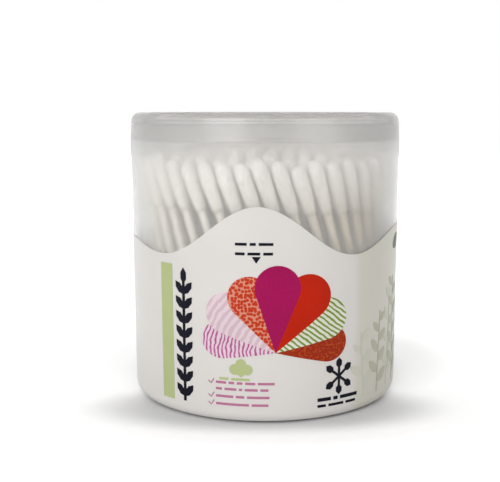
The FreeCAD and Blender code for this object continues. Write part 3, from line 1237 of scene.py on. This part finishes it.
    def degrees_of(self, length: float, height: float) -> float:
        """Degrees that a length takes up round the label.

        Args:
            length: Length in millimetres.
            height: Height in millimetres.

        Returns:
            The angle.
        """
        return math.degrees(length * MM / label_radius(height * MM))

    def dashes(self, runs: Iterable[Run]) -> list[bpy.types.Object]:
        """Draws rows of dashes on the wall.

        Args:
            runs: The rows.

        Returns:
            The dashes.
        """
        parts = []
        for run in runs:
            start = run.start
            for length in run.lengths:
                turn = self.degrees_of(length, run.height)
                part = self.patch(length, run.rise, max(1, round(length)))
                self.stand(part, start + turn / 2, run.height)
                parts.append(part)
                start += turn + self.degrees_of(run.gap, run.height)
        return parts

    def ticks(self) -> list[bpy.types.Object]:
        """Draws a small tick at the start of some rows, each of two strokes.

        Returns:
            The strokes of the ticks.
        """
        parts = []
        for height in self.tick_heights:
            for length, aside, above, lean in self.tick_strokes:
                part = self.patch(length, self.tick_rise, 1)
                self.stand(part, self.tick_azimuth + aside, height + above, lean)
                parts.append(part)
        return parts

    def sprigs(self, sprigs: Iterable[Sprig], chance: random.Random) -> list[bpy.types.Object]:
        """Draws leafy sprigs, each leaf beside its stem.

        Args:
            sprigs: The sprigs.
            chance: Source of the small differences between leaves.

        Returns:
            The stems and leaves.
        """
        parts = []
        for sprig in sprigs:
            across = math.sin(math.radians(sprig.roll))
            up = math.cos(math.radians(sprig.roll))
            stem = self.patch(self.stem_width, sprig.length, 1, self.stem_rows)
            middle = math.degrees(across * sprig.length * MM / 2 / WALL_RADIUS)
            self.stand(stem, sprig.azimuth + middle, sprig.foot + up * sprig.length / 2, sprig.roll)
            parts.append(stem)
            step = sprig.spacing
            side = 1
            while step < sprig.length:
                size = sprig.leaf * (1 - self.leaf_shrink * step / sprig.length)
                size += chance.uniform(-self.leaf_scatter, self.leaf_scatter)
                leaf = self.leaf(size, size * self.leaf_slim)
                shift = across * step + side * self.leaf_root
                lean = sprig.roll + side * chance.uniform(*self.leaf_spread)
                self.stand(leaf, sprig.azimuth + math.degrees(shift * MM / WALL_RADIUS),
                           sprig.foot + up * step, lean)
                parts.append(leaf)
                step += sprig.spacing
                side = -side
        return parts

    def bud(self) -> list[bpy.types.Object]:
        """Draws a dark leaf at the right edge.

        Returns:
            The leaf.
        """
        leaf = self.leaf(*self.bud_size)
        self.stand(leaf, *self.bud_place)
        return [leaf]

    def finish_print(self, name: str, parts: list[bpy.types.Object], finish: bpy.types.Material,
                     lift: float = 0.03 * MM) -> bpy.types.Object:
        """Joins flat parts, wraps them on the label and gives them the ink's thickness.

        Args:
            name: Name of the piece.
            parts: The flat parts.
            finish: The ink.
            lift: How far it stands off the label.

        Returns:
            The piece.
        """
        piece = merge(name, parts)
        wrap = piece.modifiers.new("wrap", "SHRINKWRAP")
        wrap.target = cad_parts["label"]
        wrap.wrap_method = "NEAREST_SURFACEPOINT"
        wrap.wrap_mode = "ABOVE_SURFACE"
        wrap.offset = lift
        thick = piece.modifiers.new("thickness", "SOLIDIFY")
        thick.thickness = self.film
        thick.offset = 1.0
        apply_modifiers(piece)
        face_outward(piece)
        dress(piece, finish)
        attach(piece, "tub")
        return piece


@dataclass(frozen=True)
class Lamp:
    """A soft square lamp: its place and side in metres, and its power in watts."""

    name: str
    place: tuple[float, float, float]
    size: float
    power: float


@dataclass
class Studio:
    """Pale floor, soft lamps and the camera of the photograph's view."""

    camera_place: tuple[float, float, float] = (0.0, -0.2634, 0.0836)
    pitch: float = 8.0
    lens: float = 60.98
    sensor: float = 36.0
    shift: tuple[float, float] = (-0.03, -0.0104)
    aim: tuple[float, float, float] = (0.0, 0.0, 0.04)
    lamps: tuple[Lamp, ...] = (
        Lamp("key_lamp", (-0.48, -0.78, 0.44), 0.6, 4.5),
        Lamp("side_lamp", (-0.80, -0.22, 0.26), 0.45, 0.2),
        Lamp("fill_lamp", (0.62, -0.70, 0.36), 0.6, 1.7),
        Lamp("back_lamp", (0.0, 0.45, 0.95), 0.7, 2.0),
    )
    sky: float = 0.38
    floor_size: float = 3.0
    floor_drop: float = 0.1 * MM
    floor_greys: tuple[float, float] = (0.86, 0.9)
    shade_grey: float = 0.74
    front_shade: tuple[float, float, float] = (-0.026, 0.0415, 0.0172)
    back_shade: tuple[float, float, float] = (0.018, 0.036, 0.031)
    shade_near: tuple[float, float, float, float] = (0.76, 1.42, 0.0, 0.4)
    shade_far: tuple[float, float, float, float] = (1.42, 3.0, 0.0, 0.6)

    def build(self) -> None:
        """Builds the floor, the lamps, the sky and the camera."""
        self.build_floor()
        self.build_sky()
        for lamp in self.lamps:
            self.add_lamp(lamp)
        self.add_camera()
        bpy.context.scene.view_settings.view_transform = "Standard"

    def build_floor(self) -> None:
        """Builds a pale floor that glows white but for a painted soft shadow round the tub's foot, where its
        grey darkens and its glow fades.
        """
        deselect()
        bpy.ops.mesh.primitive_plane_add(size=self.floor_size, location=(0, 0, -self.floor_drop))
        floor = bpy.context.active_object
        floor.name = "studio_floor"
        settle(floor)
        material, desk, shader = new_material("studio_floor")
        shader.inputs["Roughness"].default_value = 0.9
        shader.inputs["Specular IOR Level"].default_value = 0.1
        glow = desk.add("ShaderNodeEmission")
        lift = desk.math("MINIMUM", self.outside(desk, self.front_shade),
                         self.outside(desk, self.back_shade))
        low, high = self.floor_greys
        grain = desk.blend(desk.noise(60.0, 3.0), grey(low), grey(high))
        # Painted shadow: the floor's grey drops to shade_grey inside the ovals.
        desk.feed(shader.inputs["Base Color"], desk.blend(lift, grey(self.shade_grey), grain))
        desk.feed(glow.inputs["Strength"], desk.math("MULTIPLY", self.seen_ray(desk), lift))
        total = desk.add("ShaderNodeAddShader")
        desk.feed(total.inputs[0], shader.outputs[0])
        desk.feed(total.inputs[1], glow.outputs[0])
        desk.feed(material.node_tree.nodes["Material Output"].inputs["Surface"], total.outputs[0])
        dress(floor, material)

    def outside(self, desk: ShaderDesk, shade: tuple[float, float, float]) -> Socket:
        """0 within a soft oval on the floor, rising in two steps to 1 outside it.

        Args:
            desk: Desk of the floor's material.
            shade: The oval's middle in Y and its half sizes in X and Y, in metres.

        Returns:
            The mask.
        """
        middle, across, along = shade
        shift = desk.add("ShaderNodeMapping", vector_type="TEXTURE")
        desk.feed(shift.inputs["Vector"], desk.object_place())
        shift.inputs["Location"].default_value = (0.0, middle, 0.0)
        shift.inputs["Scale"].default_value = (across, along, 1.0)
        far = desk.add("ShaderNodeVectorMath", operation="LENGTH")
        desk.feed(far.inputs[0], shift.outputs[0])
        near = desk.spread(far.outputs["Value"], *self.shade_near)
        return desk.math("ADD", near, desk.spread(far.outputs["Value"], *self.shade_far))

    def seen_ray(self, desk: ShaderDesk) -> Socket:
        """1 for rays from the camera and for those that gloss or glass sends on.

        Args:
            desk: Desk of the tree.

        Returns:
            The mask.
        """
        path = desk.add("ShaderNodeLightPath")
        both = desk.math("MAXIMUM", path.outputs["Is Camera Ray"], path.outputs["Is Glossy Ray"])
        return desk.math("MAXIMUM", both, path.outputs["Is Transmission Ray"])

    def build_sky(self) -> None:
        """Gives soft light from all round and a white background."""
        world = bpy.data.worlds.new("studio_sky")
        world.use_nodes = True
        bpy.context.scene.world = world
        desk = ShaderDesk(world.node_tree)
        seen = self.seen_ray(desk)
        strength = desk.math("MULTIPLY_ADD", seen, 1.0 - self.sky, self.sky)
        desk.feed(world.node_tree.nodes["Background"].inputs["Color"], grey(1.0))
        desk.feed(world.node_tree.nodes["Background"].inputs["Strength"], strength)

    def add_lamp(self, lamp: Lamp) -> None:
        """Adds a lamp aimed at the tub.

        Args:
            lamp: The lamp.
        """
        data = bpy.data.lights.new(lamp.name, "AREA")
        data.size = lamp.size
        data.energy = lamp.power
        light = bpy.data.objects.new(lamp.name, data)
        light.location = lamp.place
        ray = Vector(self.aim) - Vector(lamp.place)
        light.rotation_euler = ray.to_track_quat("-Z", "Y").to_euler()
        bpy.context.scene.collection.objects.link(light)

    def add_camera(self) -> None:
        """Adds the camera and makes it the scene's own."""
        data = bpy.data.cameras.new("camera")
        data.lens = self.lens
        data.sensor_width = self.sensor
        data.shift_x, data.shift_y = self.shift
        data.clip_start = 0.01
        camera = bpy.data.objects.new("camera", data)
        camera.location = self.camera_place
        camera.rotation_euler = (math.radians(90 - self.pitch), 0, 0)
        bpy.context.scene.collection.objects.link(camera)
        bpy.context.scene.camera = camera


def main() -> None:
    """Builds every sub-assembly in order and reports its pieces."""
    logging.basicConfig(level=logging.INFO, format="%(name)s: %(message)s")
    wall = WallPlace()
    groups = Groups(wall, BundleShadeMasks(wall), PressTone(), MouldSkin())
    Studio().build()
    film = TubShell().build(groups)
    log.info("tub shell: dressed tub_body and lid, built %s", film.name)
    for piece in SwabBundle().build(groups):
        log.info("swab bundle: %s with %d faces", piece.name, len(piece.data.polygons))
    for piece in WrapLabel().build(groups):
        log.info("wrap label: %s with %d faces", piece.name, len(piece.data.polygons))
    deselect()


if __name__ == "__main__":
    main()
